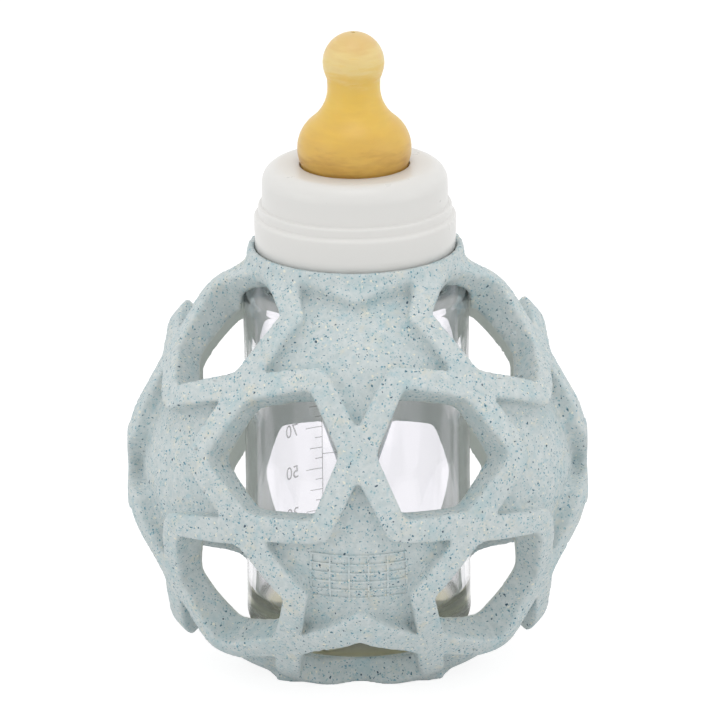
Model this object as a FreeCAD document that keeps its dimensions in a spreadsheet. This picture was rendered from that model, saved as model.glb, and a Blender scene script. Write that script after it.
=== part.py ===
import FreeCAD, Part
import itertools
import math
import os
import re
import Sketcher

# A glass baby bottle in an open rubber ball: four pieces, millimetres, +Z up.
# The origin is the middle of the flat base that the ball stands on.
doc = FreeCAD.newDocument("baby_bottle")

SIZES = {
    # rubber ball: twelve stars on a sphere
    "ball_radius": 56.8,
    "crossing_flat": 54.0,
    "ball_hollow_radius": 47.6,
    "ball_height": 46.6,
    "hole_neck_angle": 4.6,
    "hole_notch_angle": 19.2,
    "recess_tip_angle": 25.4,
    "recess_notch_angle": 12.8,
    "base_notch_angle": 9.6,
    "recess_dome_radius": 32.0,
    "recess_dome_offset": 21.6,
    "apron_star_angle": 30.3,
    "apron_side_angle": 25.9,
    "arm_low": 91.2,
    "arm_low_radius": 35.1,
    "arm_high": 98.9,
    "arm_high_radius": 25.4,
    "shoulder_room_radius": 27.3,
    "shoulder_room_top": 91.6,
    "ring_radius": 25.5,
    "ring_bore_radius": 24.25,
    "ring_bottom": 95.9,
    "ring_seat": 99.6,
    "neck_bore_radius": 20.4,
    "ring_top": 102.2,
    "foot_long_side": 22.7,
    "foot_short_side": 28.1,
    "foot_height": 5.8,
    "trim_low_radius": 26.0,
    "trim_high_radius": 46.8,
    "trim_height": 12.0,
    # glass bottle
    "glass_radius": 26.7,
    "glass_wall": 2.6,
    "glass_base": 5.95,
    "heel_radius": 4.5,
    "inner_heel_radius": 5.0,
    "base_thickness": 4.6,
    "base_hollow": 1.2,
    "base_land_radius": 19.0,
    "shoulder_start": 85.0,
    "shoulder_round": 5.0,
    "neck_radius": 18.4,
    "rim_top": 117.3,
    "rim_round": 0.9,
    # screw thread shared by the neck and the collar
    "thread_pitch": 4.0,
    "thread_turns": 1.5,
    "thread_sink": 0.3,
    "neck_thread_start": 106.6,
    "neck_crest_radius": 19.7,
    "neck_thread_root_width": 2.0,
    "neck_thread_crest_width": 1.0,
    "collar_thread_start": 104.6,
    "collar_crest_radius": 18.95,
    "collar_thread_root_width": 1.6,
    "collar_thread_crest_width": 0.8,
    # screw collar
    "collar_bottom": 100.6,
    "collar_bore_radius": 20.2,
    "flange_radius": 23.85,
    "flange_top": 109.5,
    "flange_round": 0.6,
    "step_radius": 22.85,
    "step_low": 110.3,
    "step_high": 111.75,
    "collar_radius": 21.95,
    "collar_body_low": 112.55,
    "collar_top": 121.55,
    "collar_top_round": 4.2,
    "plate_thickness": 2.1,
    "plate_hole_radius": 13.0,
    # teat
    "teat_wall": 1.6,
    "teat_flange_radius": 17.6,
    "teat_gap": 0.15,
    "bulb_round": 9.07,
    "bulb_centre_radius": 4.4,
    "bulb_centre_height": 125.4,
    "teat_neck_round": 9.8,
    "tip_radius": 7.27,
    "tip_centre_height": 146.25,
    "feed_hole_radius": 0.5,
}

sheet = doc.addObject("Spreadsheet::Sheet", "Sizes")
for row, (alias, value) in enumerate(SIZES.items(), start=1):
    sheet.set(f"A{row}", alias)
    sheet.set(f"B{row}", str(value))
    sheet.setAlias(f"B{row}", alias)
doc.recompute()


def bound(formula):
    """Turn a formula in size names into one that reads the sheet."""
    def cell(word):
        return f"Sizes.{word.group()}" if word.group() in SIZES else word.group()
    return re.sub(r"[a-z_]+", cell, formula)


def value_of(formula):
    """The number that a formula in size names has now."""
    result = sheet.evalExpression(bound(formula))
    return float(getattr(result, "Value", result))


def origin_plane(body, role):
    """One of a body's own origin planes."""
    return next(feature for feature in body.Origin.OriginFeatures if feature.Role == role)


def new_sketch(body, name):
    """An empty sketch on the body's upright plane, with X out and Z up."""
    sketch = body.newObject("Sketcher::SketchObject", name)
    sketch.AttachmentSupport = [(origin_plane(body, "XZ_Plane"), "")]
    sketch.MapMode = "FlatFace"
    return sketch


def constrain(sketch, name, formula, *constraint):
    """Add a sized constraint that follows a formula in size names."""
    number = sketch.addConstraint(Sketcher.Constraint(*constraint, value_of(formula)))
    sketch.renameConstraint(number, name)
    sketch.setExpression(f"Constraints.{name}", bound(formula))


def outline(sketch, corners):
    """A closed outline. Each corner is (radius, height) or (radius, height, round, side) in formulas:
    with a round, the edge to the next corner is an arc whose centre is left (1) or right (-1) of the way."""
    points = [FreeCAD.Vector(value_of(corner[0]), value_of(corner[1]), 0) for corner in corners]
    count = len(corners)
    for index, corner in enumerate(corners):
        start = points[index]
        end = points[(index + 1) % count]
        if len(corner) == 2:
            sketch.addGeometry(Part.LineSegment(start, end))
            continue
        radius = value_of(corner[2])
        chord = end - start
        left = FreeCAD.Vector(-chord.y, chord.x, 0).normalize()
        half = chord.Length / 2
        centre = (start + end) / 2 + left * (corner[3] * math.sqrt(max(radius ** 2 - half ** 2, 0)))
        middle = centre + ((start + end) / 2 - centre).normalize() * radius
        sketch.addGeometry(Part.Arc(start, middle, end))
    for index, corner in enumerate(corners):
        # an arc always runs anticlockwise in a sketch, so its own start may be the outline's end
        begin = 1 if len(corner) == 2 or corner[3] > 0 else 2
        before = corners[index - 1]
        finish = 2 if len(before) == 2 or before[3] > 0 else 1
        sketch.addConstraint(Sketcher.Constraint("Coincident", (index - 1) % count, finish, index, begin))
        if corner[0] == "0":
            sketch.addConstraint(Sketcher.Constraint("PointOnObject", index, begin, -2))
        else:
            constrain(sketch, f"radius_{index}", corner[0], "DistanceX", -1, 1, index, begin)
        constrain(sketch, f"height_{index}", corner[1], "DistanceY", -1, 1, index, begin)
        if len(corner) > 2:
            constrain(sketch, f"round_{index}", corner[2], "Radius", index)


def turned(body, name, sketch):
    """The solid that an outline sweeps round the bottle's axis."""
    solid = body.newObject("PartDesign::Revolution", name)
    solid.Profile = sketch
    solid.ReferenceAxis = (sketch, ["V_Axis"])
    solid.Angle = 360
    sketch.Visibility = False
    doc.recompute()
    return solid


def thread(body, name, start, root, crest, root_width, crest_width):
    """A right-hand ridge wound round the axis, from its root radius to its crest radius."""
    sketch = new_sketch(body, name + "_section")
    outline(sketch, [
        (root, f"{start} - {root_width} / 2"),
        (crest, f"{start} - {crest_width} / 2"),
        (crest, f"{start} + {crest_width} / 2"),
        (root, f"{start} + {root_width} / 2"),
    ])
    doc.recompute()
    ridge = body.newObject("PartDesign::AdditiveHelix", name)
    ridge.Profile = sketch
    ridge.ReferenceAxis = (sketch, ["V_Axis"])
    ridge.Mode = "pitch-turns-angle"
    ridge.setExpression("Pitch", bound("thread_pitch"))
    ridge.setExpression("Turns", bound("thread_turns"))
    doc.recompute()
    return ridge


# Glass bottle: a thick base with a shallow hollow under it, a straight body, a rounded shoulder
# and a neck with the screw thread.
bottle = doc.addObject("PartDesign::Body", "glass_bottle")
bottle.Label = "glass_bottle"
neck_step = "(glass_radius - neck_radius)"
shoulder_rise = f"sqrt(4 * shoulder_round * {neck_step} - {neck_step} ^ 2)"
shoulder_end = f"shoulder_start + {shoulder_rise}"
inner_share = "((shoulder_round - glass_wall) / (2 * shoulder_round))"
glass_outline = new_sketch(bottle, "glass_outline")
outline(glass_outline, [
    ("0", "glass_base + base_hollow", "(base_land_radius ^ 2 + base_hollow ^ 2) / (2 * base_hollow)", -1),
    ("base_land_radius", "glass_base"),
    ("glass_radius - heel_radius", "glass_base", "heel_radius", 1),
    ("glass_radius", "glass_base + heel_radius"),
    ("glass_radius", "shoulder_start", "shoulder_round", 1),
    ("(glass_radius + neck_radius) / 2", f"shoulder_start + {shoulder_rise} / 2", "shoulder_round", -1),
    ("neck_radius", shoulder_end),
    ("neck_radius", "rim_top - rim_round", "rim_round", 1),
    ("neck_radius - rim_round", "rim_top"),
    ("neck_radius - glass_wall + rim_round", "rim_top", "rim_round", 1),
    ("neck_radius - glass_wall", "rim_top - rim_round"),
    ("neck_radius - glass_wall", shoulder_end, "shoulder_round + glass_wall", 1),
    (f"glass_radius - shoulder_round + {inner_share} * (2 * shoulder_round - {neck_step})",
     f"shoulder_start + {inner_share} * {shoulder_rise}", "shoulder_round - glass_wall", -1),
    ("glass_radius - glass_wall", "shoulder_start"),
    ("glass_radius - glass_wall", "glass_base + base_thickness + inner_heel_radius", "inner_heel_radius", -1),
    ("glass_radius - glass_wall - inner_heel_radius", "glass_base + base_thickness"),
    ("0", "glass_base + base_thickness"),
])
turned(bottle, "glass_blank", glass_outline)
thread(bottle, "neck_thread", "neck_thread_start", "(neck_radius - thread_sink)", "neck_crest_radius",
       "neck_thread_root_width", "neck_thread_crest_width")

# Screw collar: a skirt with a raised flange at its foot, a rounded top edge, a hole for the teat
# and the inside thread half a pitch below the neck's.
collar = doc.addObject("PartDesign::Body", "screw_collar")
collar.Label = "screw_collar"
collar_outline = new_sketch(collar, "collar_outline")
outline(collar_outline, [
    ("collar_bore_radius", "collar_bottom"),
    ("flange_radius - flange_round", "collar_bottom", "flange_round", 1),
    ("flange_radius", "collar_bottom + flange_round"),
    ("flange_radius", "flange_top"),
    ("step_radius", "step_low"),
    ("step_radius", "step_high"),
    ("collar_radius", "collar_body_low"),
    ("collar_radius", "collar_top - collar_top_round", "collar_top_round", 1),
    ("collar_radius - collar_top_round", "collar_top"),
    ("plate_hole_radius", "collar_top"),
    ("plate_hole_radius", "collar_top - plate_thickness"),
    ("collar_bore_radius", "collar_top - plate_thickness"),
])
turned(collar, "collar_blank", collar_outline)
thread(collar, "collar_thread", "collar_thread_start", "(collar_bore_radius + thread_sink)",
       "collar_crest_radius", "collar_thread_root_width", "collar_thread_crest_width")


def touching_centre(first, first_reach, second, second_reach):
    """The point at the given distances from two others, on the outer side of them."""
    way = second - first
    along = (way.Length ** 2 + first_reach ** 2 - second_reach ** 2) / (2 * way.Length)
    aside = math.sqrt(first_reach ** 2 - along ** 2)
    way.normalize()
    return first + way * along + FreeCAD.Vector(way.y, -way.x, 0) * aside


def arc_between(centre, radius, start, end):
    """An anticlockwise arc about a centre, from the direction of one point to that of another."""
    angles = [math.atan2(point.y - centre.y, point.x - centre.x) for point in (start, end)]
    if angles[1] < angles[0]:
        angles[1] += 2 * math.pi
    circle = Part.Circle(FreeCAD.Vector(centre.x, centre.y, 0), FreeCAD.Vector(0, 0, 1), radius)
    return Part.ArcOfCircle(circle, *angles)


# Teat: a hollow rubber moulding of even wall. A convex bulb, a concave neck and a round tip
# run into each other, and the flange at the foot lies between the glass rim and the collar's plate.
teat = doc.addObject("PartDesign::Body", "teat")
teat.Label = "teat"
teat_outline = new_sketch(teat, "teat_outline")
flange_bottom = "rim_top + teat_gap"
flange_upper = "collar_top - plate_thickness - teat_gap"
bulb_centre = FreeCAD.Vector(value_of("bulb_centre_radius"), value_of("bulb_centre_height"), 0)
tip_centre = FreeCAD.Vector(0, value_of("tip_centre_height"), 0)
tip_end = tip_centre + FreeCAD.Vector(value_of("feed_hole_radius"), value_of("tip_radius"), 0)
neck_centre = touching_centre(bulb_centre, value_of("bulb_round + teat_neck_round"),
                              tip_centre, value_of("tip_radius + teat_neck_round"))
bulb_start = FreeCAD.Vector(value_of("plate_hole_radius"), value_of("collar_top"), 0)
FLANGE_FLOOR, FLANGE_EDGE, FLANGE_TOP, GROOVE, BULB, NECK = range(6)
TIP, FEED_HOLE, TIP_IN, NECK_IN, BULB_IN, BORE = range(6, 12)
flange_points = [FreeCAD.Vector(value_of(radius), value_of(height), 0) for radius, height in (
    ("plate_hole_radius - teat_wall", flange_bottom),
    ("teat_flange_radius", flange_bottom),
    ("teat_flange_radius", flange_upper),
    ("plate_hole_radius", flange_upper),
)]
for start, end in zip(flange_points, flange_points[1:] + [bulb_start]):
    teat_outline.addGeometry(Part.LineSegment(start, end))
inner = value_of("teat_wall")
neck_inside = value_of("teat_neck_round + teat_wall")
teat_outline.addGeometry(arc_between(bulb_centre, value_of("bulb_round"), bulb_start, neck_centre))
teat_outline.addGeometry(arc_between(neck_centre, value_of("teat_neck_round"), tip_centre, bulb_centre))
teat_outline.addGeometry(arc_between(tip_centre, value_of("tip_radius"), neck_centre, tip_end))
teat_outline.addGeometry(Part.LineSegment(tip_end, tip_end - FreeCAD.Vector(0, inner, 0)))
teat_outline.addGeometry(arc_between(tip_centre, value_of("tip_radius - teat_wall"), neck_centre, tip_end))
teat_outline.addGeometry(arc_between(neck_centre, neck_inside, tip_centre, bulb_centre))
bulb_inside = value_of("bulb_round - teat_wall")
teat_outline.addGeometry(arc_between(bulb_centre, bulb_inside, bulb_start, neck_centre))
teat_outline.addGeometry(Part.LineSegment(bulb_start - FreeCAD.Vector(inner, 0, 0), flange_points[0]))
START, END, CENTRE = 1, 2, 3
for constraint in (
    ("Coincident", FLANGE_FLOOR, END, FLANGE_EDGE, START),
    ("Coincident", FLANGE_EDGE, END, FLANGE_TOP, START),
    ("Coincident", FLANGE_TOP, END, GROOVE, START),
    ("Coincident", GROOVE, END, BULB, START),
    ("Tangent", BULB, END, NECK, END),
    ("Tangent", NECK, START, TIP, START),
    ("Coincident", TIP, END, FEED_HOLE, START),
    ("Coincident", FEED_HOLE, END, TIP_IN, END),
    ("Tangent", TIP_IN, START, NECK_IN, START),
    ("Tangent", NECK_IN, END, BULB_IN, END),
    ("Coincident", BULB_IN, START, BORE, START),
    ("Coincident", BORE, END, FLANGE_FLOOR, START),
    ("Coincident", BULB, CENTRE, BULB_IN, CENTRE),
    ("Coincident", TIP, CENTRE, TIP_IN, CENTRE),
    ("PointOnObject", TIP, CENTRE, -2),
    ("Horizontal", FLANGE_FLOOR),
    ("Vertical", FLANGE_EDGE),
    ("Horizontal", FLANGE_TOP),
    ("Vertical", GROOVE),
    ("Vertical", FEED_HOLE),
    ("Vertical", BORE),
):
    teat_outline.addConstraint(Sketcher.Constraint(*constraint))
constrain(teat_outline, "flange_floor_height", flange_bottom, "DistanceY", -1, 1, FLANGE_FLOOR, START)
constrain(teat_outline, "flange_edge_radius", "teat_flange_radius", "DistanceX", -1, 1, FLANGE_EDGE, START)
constrain(teat_outline, "flange_top_height", flange_upper, "DistanceY", -1, 1, FLANGE_TOP, END)
constrain(teat_outline, "bulb_start_height", "collar_top", "DistanceY", -1, 1, BULB, START)
constrain(teat_outline, "bulb_middle_radius", "bulb_centre_radius", "DistanceX", -1, 1, BULB, CENTRE)
constrain(teat_outline, "bulb_middle_height", "bulb_centre_height", "DistanceY", -1, 1, BULB, CENTRE)
constrain(teat_outline, "tip_middle_height", "tip_centre_height", "DistanceY", -1, 1, TIP, CENTRE)
constrain(teat_outline, "feed_hole", "feed_hole_radius", "DistanceX", -1, 1, TIP, END)
constrain(teat_outline, "bore_height", "collar_top", "DistanceY", -1, 1, BULB_IN, START)
constrain(teat_outline, "bulb_size", "bulb_round", "Radius", BULB)
constrain(teat_outline, "neck_size", "teat_neck_round", "Radius", NECK)
constrain(teat_outline, "tip_size", "tip_radius", "Radius", TIP)
constrain(teat_outline, "tip_inside", "tip_radius - teat_wall", "Radius", TIP_IN)
constrain(teat_outline, "neck_inside", "teat_neck_round + teat_wall", "Radius", NECK_IN)
constrain(teat_outline, "bulb_inside", "bulb_round - teat_wall", "Radius", BULB_IN)
turned(teat, "teat_moulding", teat_outline)

# Rubber ball: its stars stand on the twelve corners of an icosahedron that rests on a face, so a hole
# is at the top and at the bottom. Each star's points meet its five neighbours' points, and a
# six-sided hole is left among each three stars.
GOLDEN = (1 + math.sqrt(5)) / 2
LEAN = FreeCAD.Rotation(FreeCAD.Vector(1, 0, 0), 90 - math.degrees(math.atan(GOLDEN ** -2)))
NEIGHBOUR_ANGLE = math.radians(70)
SPOKE_NEAR_SHARE = 0.8
SPOKE_FAR_SHARE = 1.2


def star_directions():
    """The twelve star centres, as unit directions from the ball's centre."""
    found = []
    for short in (1, -1):
        for long in (GOLDEN, -GOLDEN):
            triple = [0, short, long]
            for shift in range(3):
                direction = FreeCAD.Vector(*(triple[shift:] + triple[:shift]))
                found.append(LEAN.multVec(direction.normalize()))
    return found


def between(*directions):
    """The direction in the middle of others."""
    return sum(directions, FreeCAD.Vector()).normalize()


def towards(start, goal, degrees):
    """The direction that lies some degrees from one direction on the way to another."""
    side = (goal - start * goal.dot(start)).normalize()
    turn = math.radians(degrees)
    return start * math.cos(turn) + side * math.sin(turn)


def in_order(direction, corners):
    """Corner directions in order round a middle one."""
    first = corners[0].cross(direction).normalize()
    second = direction.cross(first)
    return sorted(corners, key=lambda corner: math.atan2(corner.dot(second), corner.dot(first)))


def spoke(direction, corners, near, far):
    """A solid whose flat sides all point at the ball's centre, cut off square at two distances."""
    rings = [[corner * (reach / corner.dot(direction)) for corner in corners] for reach in (near, far)]
    faces = [Part.Face(Part.makePolygon(ring + ring[:1])) for ring in rings]
    for index in range(len(corners)):
        inner_edge = [rings[0][index - 1], rings[0][index]]
        outer_edge = [rings[1][index], rings[1][index - 1]]
        faces.append(Part.Face(Part.makePolygon(inner_edge + outer_edge + inner_edge[:1])))
    solid = Part.Solid(Part.Shell(faces))
    if solid.Volume < 0:
        solid.reverse()
    return solid


stars = star_directions()
joined = [pair for pair in itertools.combinations(stars, 2) if pair[0].getAngle(pair[1]) < NEIGHBOUR_ANGLE]
trios = [trio for trio in itertools.combinations(stars, 3)
         if all(one.getAngle(two) < NEIGHBOUR_ANGLE for one, two in itertools.combinations(trio, 2))]
spoke_near = value_of("ball_hollow_radius") * SPOKE_NEAR_SHARE
spoke_far = value_of("ball_radius") * SPOKE_FAR_SHARE


def crossing_flats():
    """A solid with thirty flat sides, one square to each direction in which two stars' points cross."""
    flat = value_of("crossing_flat")
    faces = []
    for pair in joined:
        middle = between(*pair)
        beside = [trio for trio in trios if all(star in trio for star in pair)]
        corners = list(pair) + [between(*trio) for trio in beside]
        ring = [corner * (flat / corner.dot(middle)) for corner in in_order(middle, corners)]
        faces.append(Part.Face(Part.makePolygon(ring + ring[:1])))
    solid = Part.Solid(Part.Shell(faces))
    if solid.Volume < 0:
        solid.reverse()
    return solid


def hole_cutter(trio):
    """The spoke that opens the hole among three stars."""
    middle = between(*trio)
    corners = [towards(star, middle, value_of("hole_notch_angle")) for star in trio]
    for pair in itertools.combinations(trio, 2):
        corners.append(towards(between(*pair), middle, value_of("hole_neck_angle")))
    return spoke(middle, in_order(middle, corners), spoke_near, spoke_far)


by_height = sorted(trios, key=lambda trio: between(*trio).z)
base_hole = hole_cutter(by_height[0])
finger_holes = [hole_cutter(trio) for trio in by_height[1:-1]]

# A six-sided apron round the ring stays whole: the three upper stars stop at it.
top_trio = by_height[-1]
top = between(*top_trio)
apron_corners = [towards(top, star, value_of("apron_star_angle")) for star in top_trio]
for pair in itertools.combinations(top_trio, 2):
    apron_corners.append(towards(top, between(*pair), value_of("apron_side_angle")))
apron = spoke(top, in_order(top, apron_corners), spoke_near, spoke_far)


def notch_angle(star, trio):
    """How far a star's recess reaches towards a hole: less far at the three wide bars over the base."""
    over_base = trio in by_height[1:4] and star == max(trio, key=lambda one: one.z)
    return value_of("base_notch_angle" if over_base else "recess_notch_angle")


star_recesses = []
tip_angle = value_of("recess_tip_angle")
for star in stars:
    corners = [towards(star, between(*pair), tip_angle) for pair in joined if star in pair]
    corners += [towards(star, between(*trio), notch_angle(star, trio)) for trio in trios if star in trio]
    dome = Part.makeSphere(value_of("recess_dome_radius"), star * value_of("recess_dome_offset"))
    star_recesses.append(spoke(star, in_order(star, corners), spoke_near, spoke_far).cut([dome, apron]))


def ball_piece(kind, name, sizes, height):
    """A round primitive on the ball's axis, with its sizes and its height bound to the sheet."""
    piece = doc.addObject(kind, name)
    for prop, formula in sizes.items():
        piece.setExpression(prop, bound(formula))
    piece.setExpression("Placement.Base.z", bound(height))
    return piece


def ball_solids(name, solids):
    """Solids worked out about the ball's centre, moved up to it as one object."""
    moved = doc.addObject("Part::Feature", name)
    moved.Shape = Part.makeCompound(solids)
    moved.setExpression("Placement.Base.z", bound("ball_height"))
    return moved


def cut_away(name, base, tool):
    """One shape less another."""
    left = doc.addObject("Part::Cut", name)
    left.Base = base
    left.Tool = tool
    return left


def shared(name, base, tool):
    """What two shapes have in common."""
    both = doc.addObject("Part::Common", name)
    both.Base = base
    both.Tool = tool
    return both


def foot_triangle(name, side_distance, turn):
    """A three-sided prism that stands on the base, with its sides at a distance from the axis."""
    prism = doc.addObject("Part::Prism", name)
    prism.Polygon = 3
    prism.setExpression("Circumradius", bound(f"2 * {side_distance}"))
    prism.setExpression("Height", bound("foot_height"))
    prism.Placement = FreeCAD.Placement(FreeCAD.Vector(), FreeCAD.Rotation(FreeCAD.Vector(0, 0, 1), turn))
    return prism


# The ring that grips the collar and the six-sided foot are whole: they join the ball after its stars and
# finger holes are cut and its lower edge is trimmed.
ball_outside = shared(
    "ball_outside",
    ball_piece("Part::Sphere", "ball_round", {"Radius": "ball_radius"}, "ball_height"),
    ball_solids("crossing_flats", [crossing_flats()]),
)
# Next to the ring the bars rise over the round of the ball, to the ring's middle.
arm_sizes = {"Radius1": "arm_low_radius", "Radius2": "arm_high_radius", "Height": "arm_high - arm_low"}
ball_with_arms = doc.addObject("Part::MultiFuse", "ball_with_arms")
ball_with_arms.Shapes = [ball_outside, ball_piece("Part::Cone", "arm_cone", arm_sizes, "arm_low")]
# The hollow is round, with a straight room above it for the bottle's shoulder.
room_sizes = {"Radius": "shoulder_room_radius", "Height": "shoulder_room_top - ball_height"}
ball_inside = doc.addObject("Part::MultiFuse", "ball_inside")
ball_inside.Shapes = [ball_piece("Part::Sphere", "ball_hollow", {"Radius": "ball_hollow_radius"}, "ball_height"),
                      ball_piece("Part::Cylinder", "shoulder_room", room_sizes, "ball_height")]
ball_shell = cut_away("ball_shell", ball_with_arms, ball_inside)
ball_with_stars = cut_away("ball_with_stars", ball_shell, ball_solids("star_recesses", star_recesses))
ball_with_holes = cut_away("ball_with_holes", ball_with_stars, ball_solids("finger_holes", finger_holes))
disc_sizes = {"Radius": "ball_radius", "Height": "trim_height"}
cone_sizes = {"Radius1": "trim_low_radius", "Radius2": "trim_high_radius", "Height": "trim_height"}
base_trim = cut_away("base_trim", ball_piece("Part::Cylinder", "trim_disc", disc_sizes, "0"),
                     ball_piece("Part::Cone", "trim_cone", cone_sizes, "0"))
ball_trimmed = cut_away("ball_trimmed", ball_with_holes, base_trim)
foot = shared("foot", foot_triangle("foot_long_sides", "foot_long_side", 90),
              foot_triangle("foot_short_sides", "foot_short_side", -90))
ring_sizes = {"Radius": "ring_radius", "Height": "ring_top - ring_bottom"}
bore_sizes = {"Radius": "ring_bore_radius", "Height": "ball_radius"}
neck_sizes = {"Radius": "neck_bore_radius", "Height": "ball_radius"}
ground_sizes = {"Radius": "ball_radius", "Height": "ball_radius"}
ball_whole = doc.addObject("Part::MultiFuse", "ball_whole")
ball_whole.Shapes = [ball_trimmed, ball_piece("Part::Cylinder", "ring", ring_sizes, "ring_bottom"), foot]
# The collar sits in the ring's wide bore; below its seat a closer bore leaves room for the bottle's neck.
ring_bore = ball_piece("Part::Cylinder", "ring_bore", bore_sizes, "ring_seat")
neck_bore = ball_piece("Part::Cylinder", "neck_bore", neck_sizes, "ball_height")
under_base = ball_piece("Part::Cylinder", "under_base", ground_sizes, "-ball_radius")
ball_with_ring = cut_away("ball_with_ring", ball_whole, ring_bore)
ball_with_bore = cut_away("ball_with_bore", ball_with_ring, neck_bore)
ball_on_base = cut_away("ball_on_base", ball_with_bore, under_base)
sleeve = cut_away("star_ball_sleeve", ball_on_base, ball_solids("base_hole", [base_hole]))
sleeve.Label = "star_ball_sleeve"

doc.recompute()
for thing in doc.Objects:
    if "Invalid" in thing.State or "Error" in thing.State:
        raise RuntimeError(f"{thing.Name} failed: {thing.State}")
pieces = [sleeve, bottle, collar, teat]
for piece in pieces:
    if piece.Shape.isNull() or not piece.Shape.isValid():
        raise RuntimeError(f"{piece.Label} has no valid shape")
os.makedirs("parts", exist_ok=True)
for piece in pieces:
    piece.Shape.exportStep(f"parts/{piece.Label}.step")
    print(f"{piece.Label}: {len(piece.Shape.Solids)} solid, {piece.Shape.Volume:.0f} mm3")
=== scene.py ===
import math
import bpy
from mathutils import Matrix, Vector


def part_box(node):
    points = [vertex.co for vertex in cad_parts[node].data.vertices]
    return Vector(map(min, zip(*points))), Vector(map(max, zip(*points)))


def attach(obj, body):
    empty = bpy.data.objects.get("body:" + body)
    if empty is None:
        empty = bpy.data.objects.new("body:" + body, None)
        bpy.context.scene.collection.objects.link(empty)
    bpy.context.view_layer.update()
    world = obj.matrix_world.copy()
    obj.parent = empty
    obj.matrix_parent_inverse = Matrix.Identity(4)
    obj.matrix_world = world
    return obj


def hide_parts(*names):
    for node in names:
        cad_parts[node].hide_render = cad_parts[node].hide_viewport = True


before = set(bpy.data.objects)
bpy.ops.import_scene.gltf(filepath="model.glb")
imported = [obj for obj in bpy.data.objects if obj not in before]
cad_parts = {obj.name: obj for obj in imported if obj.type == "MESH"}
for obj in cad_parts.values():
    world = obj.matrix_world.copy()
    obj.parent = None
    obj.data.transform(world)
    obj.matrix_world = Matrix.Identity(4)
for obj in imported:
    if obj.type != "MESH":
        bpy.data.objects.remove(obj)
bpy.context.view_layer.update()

# Glass bottle: clear soda-lime glass, blown in a mould, with a thick heel and a shallow hollow under it.
# It is one closed wall of even thickness, turned here from its outline, and it stands loose in the ball.
glass_low, glass_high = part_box("glass_bottle")
GLASS_RADIUS = glass_high[0]
GLASS_BASE = glass_low[2]
RIM_TOP = glass_high[2]
GLASS_WALL = 0.0026
HEEL = 0.006
INNER_HEEL = 0.008
BASE_THICKNESS = 0.0046
BASE_HOLLOW = 0.0012
BASE_LAND = 0.019
NECK_RADIUS = 0.0184
SHOULDER_START = 0.0890
SHOULDER_ROUND = 0.005
RIM_ROUND = 0.0009
TURN_STEPS = 144


def linear(code):
    """An sRGB hex colour as linear red, green, blue and alpha."""
    parts = [int(code[place:place + 2], 16) / 255 for place in (1, 3, 5)]
    parts = [((part + 0.055) / 1.055) ** 2.4 if part > 0.04045 else part / 12.92 for part in parts]
    return (*parts, 1.0)


def node(tree, kind, *values, fill=None, out=0, **settings):
    """Add a node, set it up, fill its inputs in order and by name, and give one of its outputs."""
    made = tree.nodes.new(kind)
    for name, value in settings.items():
        setattr(made, name, value)
    pairs = list(zip(made.inputs, values))
    pairs += [(made.inputs[name], value) for name, value in (fill or {}).items()]
    for socket, value in pairs:
        if isinstance(value, bpy.types.NodeSocket):
            tree.links.new(value, socket)
        elif value is not None:
            socket.default_value = value
    return made.outputs[out] if made.outputs else made


MATH, VECTOR = "ShaderNodeMath", "ShaderNodeVectorMath"


def blend(tree, factor, first, second):
    """Mix two colours, each a hex code or a socket, by a factor."""
    first, second = (linear(tone) if isinstance(tone, str) else tone for tone in (first, second))
    return node(tree, "ShaderNodeMix", factor, *[None] * 5, first, second, data_type="RGBA", out=2)


def new_material(name):
    """An empty node material and its tree."""
    material = bpy.data.materials.new(name)
    material.use_nodes = True
    material.node_tree.nodes.clear()
    return material, material.node_tree


def arc(centre, radius, start, end, steps):
    """Points of an arc in the outline's plane, from one angle to another in degrees."""
    angles = [math.radians(start + (end - start) * step / steps) for step in range(steps + 1)]
    across, up = centre
    return [(across + radius * math.cos(angle), up + radius * math.sin(angle)) for angle in angles]


def turned(name, outline, closed):
    """A smooth piece swept round the Z axis from an outline of (radius, height) points."""
    vertices = []
    rings = []
    for radius, height in outline:
        if radius < 1e-6:
            rings.append([len(vertices)] * TURN_STEPS)
            vertices.append((0, 0, height))
            continue
        rings.append(range(len(vertices), len(vertices) + TURN_STEPS))
        for step in range(TURN_STEPS):
            angle = 2 * math.pi * step / TURN_STEPS
            vertices.append((radius * math.cos(angle), radius * math.sin(angle), height))
    faces = []
    pairs = list(zip(rings, rings[1:])) + ([(rings[-1], rings[0])] if closed else [])
    for low, high in pairs:
        for step in range(TURN_STEPS):
            after = (step + 1) % TURN_STEPS
            corners = list(dict.fromkeys((low[step], low[after], high[after], high[step])))
            if len(corners) > 2:
                faces.append(corners)
    mesh = bpy.data.meshes.new(name)
    mesh.from_pydata(vertices, [], faces)
    mesh.validate()
    mesh.shade_smooth()
    piece = bpy.data.objects.new(name, mesh)
    bpy.context.scene.collection.objects.link(piece)
    return piece


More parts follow.
